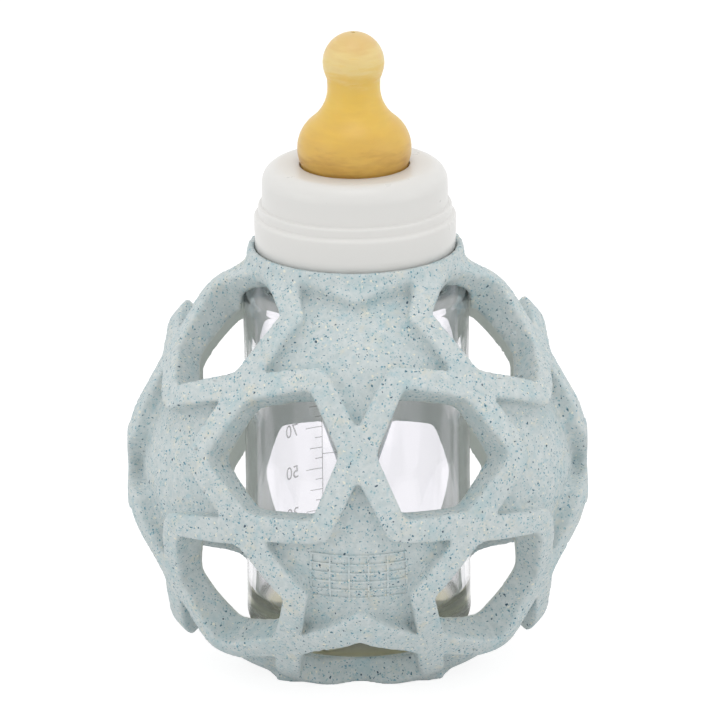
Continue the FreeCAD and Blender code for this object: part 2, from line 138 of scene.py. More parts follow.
neck_step = GLASS_RADIUS - NECK_RADIUS
shoulder_rise = math.sqrt(4 * SHOULDER_ROUND * neck_step - neck_step ** 2)
shoulder_turn = math.degrees(math.acos(1 - neck_step / (2 * SHOULDER_ROUND)))
shoulder_end = SHOULDER_START + shoulder_rise
shoulder_low = (GLASS_RADIUS - SHOULDER_ROUND, SHOULDER_START)
shoulder_high = (NECK_RADIUS + SHOULDER_ROUND, shoulder_end)
base_round = (BASE_LAND ** 2 + BASE_HOLLOW ** 2) / (2 * BASE_HOLLOW)
base_turn = math.degrees(math.asin(BASE_LAND / base_round))
bore = NECK_RADIUS - GLASS_WALL
floor_height = GLASS_BASE + BASE_THICKNESS
glass_outline = (
    arc((0, GLASS_BASE + BASE_HOLLOW - base_round), base_round, 90, 90 - base_turn, 8)
    + arc((GLASS_RADIUS - HEEL, GLASS_BASE + HEEL), HEEL, -90, 0, 12)
    + arc(shoulder_low, SHOULDER_ROUND, 0, shoulder_turn, 12)
    + arc(shoulder_high, SHOULDER_ROUND, 180 + shoulder_turn, 180, 12)[1:]
    + arc((NECK_RADIUS - RIM_ROUND, RIM_TOP - RIM_ROUND), RIM_ROUND, 0, 90, 6)
    + arc((bore + RIM_ROUND, RIM_TOP - RIM_ROUND), RIM_ROUND, 90, 180, 6)
    + arc(shoulder_high, SHOULDER_ROUND + GLASS_WALL, 180, 180 + shoulder_turn, 12)
    + arc(shoulder_low, SHOULDER_ROUND - GLASS_WALL, shoulder_turn, 0, 12)[1:]
    + arc((GLASS_RADIUS - GLASS_WALL - INNER_HEEL, floor_height + INNER_HEEL), INNER_HEEL, 0, -90, 12)
    + [(0, floor_height)]
)
glass = turned("bottle_glass", glass_outline, closed=False)

# Clear soda-lime glass, fire polished: a sharp gloss, and a grey-green tint that only a long way
# through the glass shows, at the edges and in the thick base. The heel is satin and a little warmer.
GLASS_CLEAR = "#F8F7FA"
GLASS_HEEL = "#EBE2B4"
GLASS_TINT = "#9DAA9C"
GLASS_TINT_DENSITY = 10.0
HEEL_COLOUR_LOW, HEEL_COLOUR_HIGH = GLASS_BASE + 0.002, GLASS_BASE + 0.006
HEEL_SATIN_LOW, HEEL_SATIN_HIGH = GLASS_BASE + 0.003, GLASS_BASE + 0.010
HEEL_ROUGHNESS, GLASS_ROUGHNESS = 0.55, 0.015
RIPPLE_SCALE = 60.0
glass_material, tree = new_material("clear_soda_lime_glass")
place = node(tree, "ShaderNodeTexCoord", out="Object")
ripple = node(tree, "ShaderNodeTexNoise", place, fill={"Scale": RIPPLE_SCALE, "Detail": 1.0})
ripple = node(tree, "ShaderNodeBump", fill={"Strength": 0.02, "Distance": 0.001, "Height": ripple})
up = node(tree, "ShaderNodeSeparateXYZ", place, out="Z")
rough = node(
    tree, "ShaderNodeMapRange", up, HEEL_SATIN_LOW, HEEL_SATIN_HIGH, HEEL_ROUGHNESS, GLASS_ROUGHNESS)
clear = node(tree, "ShaderNodeMapRange", up, HEEL_COLOUR_LOW, HEEL_COLOUR_HIGH)
colour = blend(tree, clear, GLASS_HEEL, GLASS_CLEAR)
shader = node(tree, "ShaderNodeBsdfPrincipled", fill={
    "Base Color": colour, "Roughness": rough, "IOR": 1.51, "Transmission Weight": 1.0, "Normal": ripple})
# light goes straight through the glass, so that it doesn't darken what stands round it
path = node(tree, "ShaderNodeLightPath", out="Is Shadow Ray")
lighting = node(tree, MATH, path, path.node.outputs["Is Diffuse Ray"], operation="MAXIMUM")
shader = node(tree, "ShaderNodeMixShader", lighting, shader, node(tree, "ShaderNodeBsdfTransparent"))
tint = node(tree, "ShaderNodeVolumeAbsorption", linear(GLASS_TINT), GLASS_TINT_DENSITY)
node(tree, "ShaderNodeOutputMaterial", fill={"Surface": shader, "Volume": tint})
glass.data.materials.append(glass_material)
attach(glass, "bottle")
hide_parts("glass_bottle")

# Volume scale: a vertical line with a tick for every 5 ml, ounce ticks across it and plain numbers.
# It is grey ceramic ink, screen printed and fired on the outside of the glass, on the far side.
INK_LIFT = 0.00003
SCALE_RADIUS = GLASS_RADIUS + INK_LIFT
SCALE_LINE = 0.0094
INK_WIDTH = 0.00022
FIRST_ML, ML_STEP, ML_TICKS = 10, 5, 23
KNOWN_ML, KNOWN_HEIGHT = 50, 0.0381
ML_RISE = 0.00053
OUNCE_ML = 28.41
LABELLED_ML = (30, 50, 70, 90, 110)
LABELLED_OUNCES = (1, 2, 3, 4)
NUMBER_SIZE = 0.0046
NUMBER_GAP = 0.0071
NUMBER_RISE = 0.0002
OUNCE_NUMBER_WIDTH = 0.0030


def ml_height(volume):
    """The height of a volume's mark above the base that the object stands on."""
    return KNOWN_HEIGHT + (volume - KNOWN_ML) * ML_RISE


def new_shape_tree(name, inputs):
    """A geometry tree with named inputs for its sizes, and those inputs by name."""
    tree = bpy.data.node_groups.new(name, "GeometryNodeTree")
    tree.interface.new_socket("Geometry", in_out="OUTPUT", socket_type="NodeSocketGeometry")
    kinds = {Vector: "NodeSocketVector", float: "NodeSocketFloat", int: "NodeSocketInt"}
    for label, value in inputs.items():
        tree.interface.new_socket(label, in_out="INPUT", socket_type=kinds[type(value)])
    entry = tree.nodes.new("NodeGroupInput")
    return tree, {label: entry.outputs[label] for label in inputs}


def piece_from_tree(name, tree, inputs):
    """Run a geometry tree with these inputs and keep its result as a plain mesh piece."""
    holder = bpy.data.objects.new(name, bpy.data.meshes.new(name))
    bpy.context.scene.collection.objects.link(holder)
    modifier = holder.modifiers.new("shape", "NODES")
    modifier.node_group = tree
    for item in tree.interface.items_tree:
        if item.in_out == "INPUT":
            modifier[item.identifier] = inputs[item.name]
    graph = bpy.context.evaluated_depsgraph_get()
    mesh = bpy.data.meshes.new_from_object(holder.evaluated_get(graph), depsgraph=graph)
    holder.modifiers.remove(modifier)
    holder.data = mesh
    mesh.name = name
    return holder


# Fired ceramic ink: matt, thin enough to let some light through, and a little uneven where the screen's
# mesh left it thinner.
INK = "#9C9D9B"
INK_THIN = "#B4B5B2"
INK_GRAIN = 0.0006
ink, tree = new_material("fired_ceramic_ink")
place = node(tree, "ShaderNodeTexCoord", out="Object")
grain = node(tree, "ShaderNodeTexNoise", place, fill={"Scale": 1 / INK_GRAIN, "Detail": 2.0})
colour = blend(tree, grain, INK, INK_THIN)
shader = node(tree, "ShaderNodeBsdfPrincipled", fill={
    "Base Color": colour, "Roughness": 0.6, "Alpha": 0.65})
node(tree, "ShaderNodeOutputMaterial", fill={"Surface": shader})

tick_sizes = {
    "Ticks": ML_TICKS, "First height": ml_height(FIRST_ML), "Rise": ML_STEP * ML_RISE,
    "Radius": SCALE_RADIUS, "Line place": SCALE_LINE, "Ink width": INK_WIDTH,
    "Short": 0.0020, "Middle": 0.0036, "Long": 0.0048,
    "Ounces": len(LABELLED_OUNCES), "Ounce height": ml_height(OUNCE_ML), "Ounce rise": OUNCE_ML * ML_RISE,
}
tree, size = new_shape_tree("volume_scale_shape", tick_sizes)
index = node(tree, "GeometryNodeInputIndex")
even = node(tree, MATH, index, 2.0, operation="MODULO")
even = node(tree, MATH, even, 0.5, operation="LESS_THAN")
fourth = node(tree, MATH, index, 4.0, operation="MODULO")
labelled = node(tree, "FunctionNodeCompare", fourth, 0.0, data_type="FLOAT", operation="EQUAL")
length = node(tree, "GeometryNodeSwitch", even, size["Short"], size["Middle"], input_type="FLOAT")
length = node(tree, "GeometryNodeSwitch", labelled, length, size["Long"], input_type="FLOAT")

# the ticks for millilitres stand on one side of the line and those for ounces on the other
upright = (math.pi / 2, 0, 0)
parts = []
for count, low, rise, reach, half in (
    ("Ticks", "First height", "Rise", length, 0.5),
    ("Ounces", "Ounce height", "Ounce rise", size["Long"], -0.5),
):
    points = node(tree, "GeometryNodePoints", size[count])
    climb = node(tree, MATH, index, size[rise], size[low], operation="MULTIPLY_ADD")
    aside = node(tree, MATH, reach, half, size["Line place"], operation="MULTIPLY_ADD")
    spot = node(tree, "ShaderNodeCombineXYZ", aside, 0.0, climb)
    points = node(tree, "GeometryNodeSetPosition", points, fill={"Position": spot})
    bar = node(tree, "GeometryNodeMeshGrid", 1.0, 1.0, 6, 2)
    scale = node(tree, "ShaderNodeCombineXYZ", reach, size["Ink width"], 1.0)
    bars = node(tree, "GeometryNodeInstanceOnPoints", points, fill={
        "Instance": bar, "Rotation": upright, "Scale": scale})
    parts.append(node(tree, "GeometryNodeRealizeInstances", bars))
last = node(tree, MATH, size["Ticks"], -1.0, operation="ADD")
span = node(tree, MATH, last, size["Rise"], operation="MULTIPLY")
line = node(tree, "GeometryNodeMeshGrid", size["Ink width"], span, 2, 40)
middle = node(tree, MATH, span, 0.5, size["First height"], operation="MULTIPLY_ADD")
spot = node(tree, "ShaderNodeCombineXYZ", size["Line place"], 0.0, middle)
line = node(tree, "GeometryNodeTransform", line, fill={"Translation": spot, "Rotation": upright})
shape = node(tree, "GeometryNodeJoinGeometry")
for part in parts + [line]:
    tree.links.new(part, shape.node.inputs[0])

# the flat scale is laid round the glass, its right-hand side towards -X as read from behind
flat = node(tree, "ShaderNodeSeparateXYZ", node(tree, "GeometryNodeInputPosition"))
angle = node(tree, MATH, flat, size["Radius"], operation="DIVIDE")
aside = node(tree, MATH, angle, operation="SINE")
aside = node(tree, MATH, aside, size["Radius"], operation="MULTIPLY")
aside = node(tree, MATH, aside, -1.0, operation="MULTIPLY")
depth = node(tree, MATH, angle, operation="COSINE")
depth = node(tree, MATH, depth, size["Radius"], operation="MULTIPLY")
round_spot = node(tree, "ShaderNodeCombineXYZ", aside, depth, flat.node.outputs["Z"])
shape = node(tree, "GeometryNodeSetPosition", shape, fill={"Position": round_spot})
shape = node(tree, "GeometryNodeRealizeInstances", shape)
shape = node(tree, "GeometryNodeSetMaterial", shape, fill={"Material": ink})
node(tree, "NodeGroupOutput", shape)
scale_ticks = piece_from_tree("scale_ticks", tree, tick_sizes)
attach(scale_ticks, "bottle")

# Scale numbers: plain figures for every 20 ml on one side of the line and for each ounce on the other.
# They are printed with the ticks, in the same ink, and are laid round the glass in the same way.
number_vertices = []
number_faces = []
ml_place = SCALE_LINE + NUMBER_GAP
ounce_place = SCALE_LINE - NUMBER_GAP - OUNCE_NUMBER_WIDTH
numbers = [(str(volume), ml_height(volume) + NUMBER_RISE, ml_place) for volume in LABELLED_ML]
numbers += [(str(ounce), ml_height(ounce * OUNCE_ML), ounce_place) for ounce in LABELLED_OUNCES]
for word, height, start in numbers:
    letters = bpy.data.curves.new("number", "FONT")
    letters.body = word
    letters.size = NUMBER_SIZE
    letters.align_y = "CENTER"
    holder = bpy.data.objects.new("number", letters)
    flat_mesh = bpy.data.meshes.new_from_object(holder)
    first = len(number_vertices)
    for vertex in flat_mesh.vertices:
        angle = (start + vertex.co.x) / SCALE_RADIUS
        across, depth = -SCALE_RADIUS * math.sin(angle), SCALE_RADIUS * math.cos(angle)
        number_vertices.append((across, depth, height + vertex.co.y))
    number_faces += [[first + corner for corner in face.vertices] for face in flat_mesh.polygons]
    bpy.data.objects.remove(holder)
    bpy.data.curves.remove(letters)
    bpy.data.meshes.remove(flat_mesh)
number_mesh = bpy.data.meshes.new("scale_numbers")
number_mesh.from_pydata(number_vertices, [], number_faces)
number_mesh.materials.append(ink)
scale_numbers = bpy.data.objects.new("scale_numbers", number_mesh)
bpy.context.scene.collection.objects.link(scale_numbers)
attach(scale_numbers, "bottle")

# Teat: a hollow moulding of amber natural rubber with a pear-shaped bulb and a round tip with a feed hole.
# It is dipped and vulcanised in one piece, and the collar's plate clamps its flange on the glass rim.
TEAT_WALL = 0.0016
TEAT_FLANGE = 0.0176
TEAT_GAP = 0.00015
BULB_ROUND = 0.00907
BULB_CENTRE = Vector((0.0044, 0.1254))
TEAT_NECK_ROUND = 0.0099
TIP_RADIUS = 0.00727
TIP_CENTRE = Vector((0, 0.14625))
FEED_HOLE = 0.0005
FEED_FLARE = 2
PLATE_HOLE = 0.013
COLLAR_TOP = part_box("screw_collar")[1].z
PLATE_THICKNESS = 0.0021
between_centres = TIP_CENTRE - BULB_CENTRE
bulb_reach = BULB_ROUND + TEAT_NECK_ROUND
tip_reach = TIP_RADIUS + TEAT_NECK_ROUND
apart = between_centres.length
along = (between_centres.length_squared + bulb_reach ** 2 - tip_reach ** 2) / (2 * apart)
aside = math.sqrt(bulb_reach ** 2 - along ** 2)
way = between_centres.normalized()
neck_centre = BULB_CENTRE + way * along + Vector((way.y, -way.x)) * aside


def bearing(start, goal):
    """The angle in degrees of the way from one point of an outline to another."""
    return math.degrees(math.atan2(goal.y - start.y, goal.x - start.x))


bulb_top = bearing(BULB_CENTRE, neck_centre)
bulb_foot = bearing(BULB_CENTRE, Vector((PLATE_HOLE, COLLAR_TOP)))
neck_low = bearing(neck_centre, BULB_CENTRE) % 360
neck_high = bearing(neck_centre, TIP_CENTRE) % 360
tip_low = bearing(TIP_CENTRE, neck_centre)
tip_high = 90 - math.degrees(math.asin(FEED_HOLE / TIP_RADIUS))
rim_seat = RIM_TOP + TEAT_GAP
under_plate = COLLAR_TOP - PLATE_THICKNESS - TEAT_GAP
outer_wall = (
    [(PLATE_HOLE - TEAT_WALL, rim_seat), (TEAT_FLANGE, rim_seat)]
    + [(TEAT_FLANGE, under_plate), (PLATE_HOLE, under_plate)]
    + arc(BULB_CENTRE, BULB_ROUND, bulb_foot, bulb_top, 24)
    + arc(neck_centre, TEAT_NECK_ROUND, neck_low, neck_high, 20)[1:]
    + arc(TIP_CENTRE, TIP_RADIUS, tip_low, tip_high, 60)[1:]
)
inner_wall = (
    arc(BULB_CENTRE, BULB_ROUND - TEAT_WALL, bulb_foot, bulb_top, 24)
    + arc(neck_centre, TEAT_NECK_ROUND + TEAT_WALL, neck_low, neck_high, 20)[1:]
    + arc(TIP_CENTRE, TIP_RADIUS - TEAT_WALL, tip_low, tip_high - FEED_FLARE, 24)[1:]
)

# a fine fold runs round the teat under its tip
FOLD_HEIGHT = 0.1423
FOLD_DEPTH = 0.00016
FOLD_REACH = 0.0008
for index, (radius, height) in enumerate(outer_wall):
    nearness = max(0.0, 1 - abs(height - FOLD_HEIGHT) / FOLD_REACH)
    outer_wall[index] = (radius - FOLD_DEPTH * nearness, height)
teat = turned("rubber_teat", outer_wall + inner_wall[::-1], closed=True)
SHARP_CORNER = math.radians(50)
teat.data.set_sharp_from_angle(angle=SHARP_CORNER)

# Natural rubber without filler, dipped: translucent amber, deeper towards the base, with a painted
# highlight as a pale band round the tip, a satin skin and faint flow lines round it from the dipping.
# the ramp by height: amber deepening towards the base, and a painted highlight in the pale stops round the
# tip
TEAT_AMBER_AND_TIP_HIGHLIGHT = (
    (0.1212, "#CD9F4A"), (0.1270, "#E9BF5C"), (0.1379, "#F8CF5E"),
    (0.1421, "#F5CE67"), (0.1473, "#FBDF9B"), (0.1528, "#F0CE88"),
)
FLOW_SIZE = 0.003
FLOW_STRETCH = (0.35, 0.35, 1.6)
FLOW_DRIFT = 0.003
TEAT_GRAIN = 0.0008
latex, tree = new_material("amber_natural_rubber")
place = node(tree, "ShaderNodeTexCoord", out="Object")
stretched = node(tree, VECTOR, place, FLOW_STRETCH, operation="MULTIPLY")
flow = node(tree, "ShaderNodeTexNoise", stretched, fill={
    "Scale": 1 / FLOW_SIZE, "Detail": 4.0, "Roughness": 0.6})
drift = node(tree, "ShaderNodeMapRange", flow, 0.3, 0.7, -FLOW_DRIFT, FLOW_DRIFT)
climb = node(tree, "ShaderNodeSeparateXYZ", place, out="Z")
climb = node(tree, MATH, climb, drift, operation="ADD")
low, high = TEAT_AMBER_AND_TIP_HIGHLIGHT[0][0], TEAT_AMBER_AND_TIP_HIGHLIGHT[-1][0]
climb = node(tree, "ShaderNodeMapRange", climb, low, high)
colour = node(tree, "ShaderNodeValToRGB", climb)
ramp = colour.node.color_ramp
while len(ramp.elements) < len(TEAT_AMBER_AND_TIP_HIGHLIGHT):
    ramp.elements.new(0.5)
for stop, (height, code) in zip(ramp.elements, TEAT_AMBER_AND_TIP_HIGHLIGHT):
    stop.position = (height - low) / (high - low)
    stop.color = linear(code)
grain = node(tree, "ShaderNodeTexNoise", place, fill={"Scale": 1 / TEAT_GRAIN, "Detail": 2.0})
bump = node(tree, "ShaderNodeBump", fill={"Strength": 0.05, "Distance": 0.0002, "Height": grain})
shader = node(tree, "ShaderNodeBsdfPrincipled", fill={
    "Base Color": colour, "Roughness": 0.34, "IOR": 1.52, "Normal": bump, "Transmission Weight": 0.2,
    "Subsurface Weight": 0.5, "Subsurface Radius": (0.0022, 0.0017, 0.0009), "Subsurface Scale": 1.0})
node(tree, "ShaderNodeOutputMaterial", fill={"Surface": shader})
teat.data.materials.append(latex)
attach(teat, "teat")
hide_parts("teat")

# Screw collar: a ring of white polypropylene with a soft flange at its foot, a rounded top edge and
# a plate with a hole for the teat. It is injection moulded and screws down on the glass neck.
COLLAR_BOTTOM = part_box("screw_collar")[0].z
COLLAR_BORE = 0.0202
FLANGE_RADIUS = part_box("screw_collar")[1].x
FLANGE_FOOT = 0.02365
FLANGE_TOP = 0.1096
STEP_RADIUS = 0.02285
STEP_TOP = 0.11205
COLLAR_RADIUS = 0.02195
TOP_ROUND = 0.0044
HOLE_ROUND = 0.00015
FOOT_BEVEL = 0.0005
FLANGE_SWELL = 0.00012
SWELL_START, SWELL_END = COLLAR_BOTTOM + 0.0034, COLLAR_BOTTOM + 0.0055
FLANGE_ROUND, FLANGE_TURN = 0.0009, 75
STEP_ROUND, STEP_TURN = 0.0006, 70
STEP_FILLET = 0.0004
collar_outline = (
    [(COLLAR_BORE, COLLAR_BOTTOM), (FLANGE_FOOT - FOOT_BEVEL, COLLAR_BOTTOM)]
    + [(FLANGE_FOOT, COLLAR_BOTTOM + FOOT_BEVEL)]
    + [(FLANGE_RADIUS - FLANGE_SWELL, SWELL_START), (FLANGE_RADIUS, SWELL_END)]
    + arc((FLANGE_RADIUS - FLANGE_ROUND, FLANGE_TOP - FLANGE_ROUND), FLANGE_ROUND, 0, FLANGE_TURN, 8)
    + arc((STEP_RADIUS + STEP_FILLET, FLANGE_TOP + STEP_FILLET), STEP_FILLET, 180 + FLANGE_TURN, 180, 6)
    + arc((STEP_RADIUS - STEP_ROUND, STEP_TOP - STEP_ROUND), STEP_ROUND, 0, STEP_TURN, 8)
    + arc((COLLAR_RADIUS + STEP_FILLET, STEP_TOP + STEP_FILLET), STEP_FILLET, 180 + STEP_TURN, 180, 6)
    + arc((COLLAR_RADIUS - TOP_ROUND, COLLAR_TOP - TOP_ROUND), TOP_ROUND, 0, 90, 18)
    + arc((PLATE_HOLE + HOLE_ROUND, COLLAR_TOP - HOLE_ROUND), HOLE_ROUND, 90, 180, 4)
    + [(PLATE_HOLE, COLLAR_TOP - PLATE_THICKNESS), (COLLAR_BORE, COLLAR_TOP - PLATE_THICKNESS)]
)
collar = turned("plastic_collar", collar_outline, closed=True)
collar.data.set_sharp_from_angle(angle=SHARP_CORNER)

# Polypropylene, injection moulded in a polished mould: white and slightly milky, with a soft gloss
# that is a little uneven.
PLASTIC = "#DDDCD9"
HAZE_SIZE = 0.004
PLASTIC_GRAIN = 0.0010
plastic, tree = new_material("white_polypropylene")
place = node(tree, "ShaderNodeTexCoord", out="Object")
haze = node(tree, "ShaderNodeTexNoise", place, fill={"Scale": 1 / HAZE_SIZE, "Detail": 3.0})
rough = node(tree, "ShaderNodeMapRange", haze, 0.0, 1.0, 0.24, 0.36)
fine = node(tree, "ShaderNodeTexNoise", place, fill={"Scale": 1 / PLASTIC_GRAIN, "Detail": 2.0})
bump = node(tree, "ShaderNodeBump", fill={"Strength": 0.03, "Distance": 0.0002, "Height": fine})
shader = node(tree, "ShaderNodeBsdfPrincipled", fill={
    "Base Color": linear(PLASTIC), "Roughness": rough, "IOR": 1.49, "Normal": bump,
    "Subsurface Weight": 0.25, "Subsurface Radius": (0.002, 0.002, 0.002), "Subsurface Scale": 1.0})
node(tree, "ShaderNodeOutputMaterial", fill={"Surface": shader})
collar.data.materials.append(plastic)
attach(collar, "collar")
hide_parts("screw_collar")

# Rubber ball: one soft moulding of natural rubber with twelve sunk stars and open holes among them.
# It is pulled over the bottle, and its ring closes round the collar's foot.
ball_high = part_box("star_ball_sleeve")[1]
BALL_RADIUS = 0.0568
CROSSING_FLAT = 0.0545
BALL_HOLLOW_RADIUS = 0.0476
BALL_HEIGHT = 0.0466
HOLE_NECK = math.radians(4.6)
HOLE_NOTCH = math.radians(19.2)
RECESS_TIP = math.radians(25.4)
RECESS_NOTCH = math.radians(12.8)
BASE_NOTCH = math.radians(9.6)
DOME_RADIUS = 0.0320
DOME_OFFSET = 0.0216
FLOOR_RADIUS = 0.0512
TOP_FLOOR_RADIUS = 0.0542
TOP_FLOOR_LOW, TOP_FLOOR_HIGH = 0.080, 0.092
APRON_STAR = math.radians(30.3)
APRON_SIDE = math.radians(27.5)
RING_RADIUS = 0.0255
RING_BORE = 0.0237
RING_BOTTOM = 0.0959
RING_SEAT = 0.0996
RING_FLOOR = 0.0243
NECK_BORE = 0.0204
RING_TRIM = 0.0004
RING_TOP = ball_high[2] - RING_TRIM
FOOT_LONG_SIDE = 0.0227
FOOT_SHORT_SIDE = 0.0281
FOOT_HEIGHT = 0.0058
TRIM_RADIUS = 0.0262
TRIM_SLOPE = 1.7333
EDGE_ROUND = 0.0011
FLAT_ROUND = 0.0012
HOLE_CORNER = 0.002
RECESS_CORNER = 0.002
RECESS_EDGE = 0.0007
BLEND_ROUND = 0.003
LIP_ROUND = 0.0006
BASE_HOLE_REACH = 0.02
BASE_BAR_STEEP = math.radians(120.81)
BASE_BAR_REACH = math.radians(20)
BASE_BAR_FADE = 8.0
BASE_SLOT_EXTRA = 0.0011
BASE_SLOT_FAR, BASE_SLOT_NEAR = 0.927, 0.978
ARCH_START = 0.020
ARCH_RADIUS = 0.0265
ARCH_MIDDLE = -0.0245
ARM_LOW, ARM_LOW_RADIUS = 0.0912, 0.0351
ARM_HIGH, ARM_HIGH_RADIUS = 0.0989, 0.0254
ROOM_GAP = 0.0003
VOXEL = 0.0007
GOLDEN = (1 + math.sqrt(5)) / 2
LEAN = math.pi / 2 - math.atan(GOLDEN ** -2)

# One star's centre, one hole's centre and one crossing of points bound the smallest part of the pattern:
# its mirror images fill the ball.
star_way = Vector((0, 1, GOLDEN)).normalized()
hole_way = Vector((1 / GOLDEN, 0, GOLDEN)).normalized()
crossing_way = Vector((0, 0, 1))
mirror_way = hole_way.cross(star_way).normalized()


def towards(start, goal, angle):
    """The direction at an angle from one direction on the way to another."""
    side = (goal - start * goal.dot(start)).normalized()
    return start * math.cos(angle) + side * math.sin(angle)


def way_at(steep, turn):
    """The direction at an angle from straight up, turned round the Z axis."""
    return Vector((math.sin(steep) * math.cos(turn), math.sin(steep) * math.sin(turn), math.cos(steep)))


def wall_way(first, second, inside):
    """The normal of the flat wall through two directions, on the side of a third."""
    normal = first.cross(second).normalized()
    return normal if normal.dot(inside) > 0 else -normal


hole_neck = towards(crossing_way, hole_way, HOLE_NECK)
hole_wall = wall_way(hole_neck, towards(star_way, hole_way, HOLE_NOTCH), hole_way)
recess_tip = towards(star_way, crossing_way, RECESS_TIP)
recess_wall = wall_way(recess_tip, towards(star_way, hole_way, RECESS_NOTCH), star_way)
base_wall = wall_way(recess_tip, towards(star_way, hole_way, BASE_NOTCH), star_way)

ball_sizes = {
    "Ball radius": BALL_RADIUS, "Crossing flat": CROSSING_FLAT, "Flat round": FLAT_ROUND,
    "Hollow radius": BALL_HOLLOW_RADIUS, "Ball height": BALL_HEIGHT,
    "Hole wall": hole_wall, "Recess wall": recess_wall, "Base wall": base_wall,
    "Dome radius": DOME_RADIUS, "Dome offset": DOME_OFFSET, "Floor radius": FLOOR_RADIUS,
    "Top floor radius": TOP_FLOOR_RADIUS, "Top floor low": TOP_FLOOR_LOW, "Top floor high": TOP_FLOOR_HIGH,
    "Ring radius": RING_RADIUS, "Ring bore": RING_BORE, "Ring bottom": RING_BOTTOM, "Ring seat": RING_SEAT,
    "Ring floor": RING_FLOOR, "Ring top": RING_TOP, "Neck bore": NECK_BORE, "Arm foot": ARM_LOW,
    "Room radius": GLASS_RADIUS - SHOULDER_ROUND, "Room top": SHOULDER_START,
    "Room round": SHOULDER_ROUND + ROOM_GAP, "Slot extra": BASE_SLOT_EXTRA,
    "Foot long side": FOOT_LONG_SIDE, "Foot short side": FOOT_SHORT_SIDE, "Foot height": FOOT_HEIGHT,
    "Edge round": EDGE_ROUND, "Hole corner": HOLE_CORNER, "Recess corner": RECESS_CORNER,
    "Recess edge": RECESS_EDGE, "Blend round": BLEND_ROUND, "Lip round": LIP_ROUND,
    "Base hole reach": BASE_HOLE_REACH, "Trim radius": TRIM_RADIUS, "Trim slope": TRIM_SLOPE,
    "Arch start": ARCH_START, "Arch radius": ARCH_RADIUS,
}
tree, size = new_shape_tree("rubber_ball_shape", ball_sizes)
spot = node(tree, "GeometryNodeInputPosition")
height = node(tree, "ShaderNodeSeparateXYZ", spot, out="Z")
lift = node(tree, "ShaderNodeCombineXYZ", fill={"Z": size["Ball height"]})
centred = node(tree, VECTOR, spot, lift, operation="SUBTRACT")
reach = node(tree, VECTOR, centred, operation="LENGTH", out="Value")
flat = node(tree, VECTOR, spot, (1, 1, 0), operation="MULTIPLY")
from_axis = node(tree, VECTOR, flat, operation="LENGTH", out="Value")

# the mirrors bring every point into the one small part of the pattern
folded = node(tree, "ShaderNodeVectorRotate", centred, fill={"Angle": -LEAN}, rotation_type="X_AXIS")
for _ in range(3):
    folded = node(tree, VECTOR, folded, operation="ABSOLUTE")
    behind = node(tree, VECTOR, folded, mirror_way, operation="DOT_PRODUCT", out="Value")
    behind = node(tree, MATH, behind, 0.0, operation="MINIMUM")
    behind = node(tree, MATH, behind, -2.0, operation="MULTIPLY")
    shift = node(tree, VECTOR, mirror_way, fill={"Scale": behind}, operation="SCALE")
    folded = node(tree, VECTOR, folded, shift, operation="ADD")
folded = node(tree, VECTOR, folded, operation="ABSOLUTE")


def wall_depth(wall, corner, *images):
    """Depth behind a wall and its mirror images, with the corner between each two rounded."""
    depth = node(tree, VECTOR, folded, size[wall], operation="DOT_PRODUCT", out="Value")
    for normal, rule in images:
        image = node(tree, VECTOR, folded, normal, operation="REFLECT")
        image = node(tree, VECTOR, image, size[wall], operation="DOT_PRODUCT", out="Value")
        depth = node(tree, MATH, depth, image, size[corner], operation=rule)
    return depth


hole = wall_depth("Hole wall", "Hole corner", ((0, 1, 0), "SMOOTH_MIN"), (mirror_way, "SMOOTH_MIN"))
recess = wall_depth("Recess wall", "Recess corner", ((1, 0, 0), "SMOOTH_MIN"), (mirror_way, "SMOOTH_MAX"))

# over the base three stars stop earlier, so that the bars there are wider, and the openings under these
# bars are larger than their mirror images
over_base = None
for turn in (-90, 30, 150):
    aim = way_at(BASE_BAR_STEEP, math.radians(turn))
    aim = node(tree, VECTOR, centred, aim, operation="DOT_PRODUCT", out="Value")
    over_base = node(tree, MATH, over_base, aim, operation="MAXIMUM") if over_base else aim
near_base = node(tree, MATH, over_base, reach, operation="DIVIDE")
near_base = node(
    tree, "ShaderNodeMapRange", near_base, BASE_SLOT_FAR, BASE_SLOT_NEAR, 0.0, size["Slot extra"])
hole = node(tree, MATH, hole, near_base, operation="ADD")
aim = towards(star_way, hole_way, BASE_BAR_REACH)
aim = node(tree, VECTOR, folded, aim, operation="DOT_PRODUCT", out="Value")
elsewhere = node(tree, MATH, aim, over_base, operation="SUBTRACT")
base_bar = wall_depth("Base wall", "Recess corner", ((1, 0, 0), "SMOOTH_MIN"), (mirror_way, "SMOOTH_MAX"))
base_bar = node(tree, MATH, base_bar, size["Slot extra"], operation="SUBTRACT")
base_bar = node(tree, MATH, elsewhere, BASE_BAR_FADE, base_bar, operation="MULTIPLY_ADD")
recess = node(tree, MATH, recess, base_bar, operation="MINIMUM")

# the floor of a star is a shallow dome, which next to the ring lies less deep
dome_middle = node(tree, VECTOR, star_way, fill={"Scale": size["Dome offset"]}, operation="SCALE")
dome = node(tree, VECTOR, folded, dome_middle, operation="DISTANCE", out="Value")
dome = node(tree, MATH, dome, size["Dome radius"], operation="SUBTRACT")
floor = node(
    tree, "ShaderNodeMapRange", height,
    *[size[label] for label in ("Top floor low", "Top floor high", "Floor radius", "Top floor radius")])
floor = node(tree, MATH, reach, floor, operation="SUBTRACT")
dome = node(tree, MATH, dome, floor, size["Recess corner"], operation="SMOOTH_MIN")
recess = node(tree, MATH, recess, dome, size["Recess edge"], operation="SMOOTH_MIN")

# the three upper stars stop at a six-sided apron round the ring
apron = None
for index in range(6):
    corners = []
    for step in (index, index + 1):
        corners.append(way_at(APRON_SIDE if step % 2 else APRON_STAR, math.radians(60 * step - 90)))
    wall = wall_way(*corners, Vector((0, 0, -1)))
    wall = node(tree, VECTOR, centred, wall, operation="DOT_PRODUCT", out="Value")
    apron = node(tree, MATH, apron, wall, size["Recess edge"], operation="SMOOTH_MAX") if apron else wall
recess = node(tree, MATH, recess, apron, size["Recess edge"], operation="SMOOTH_MIN")

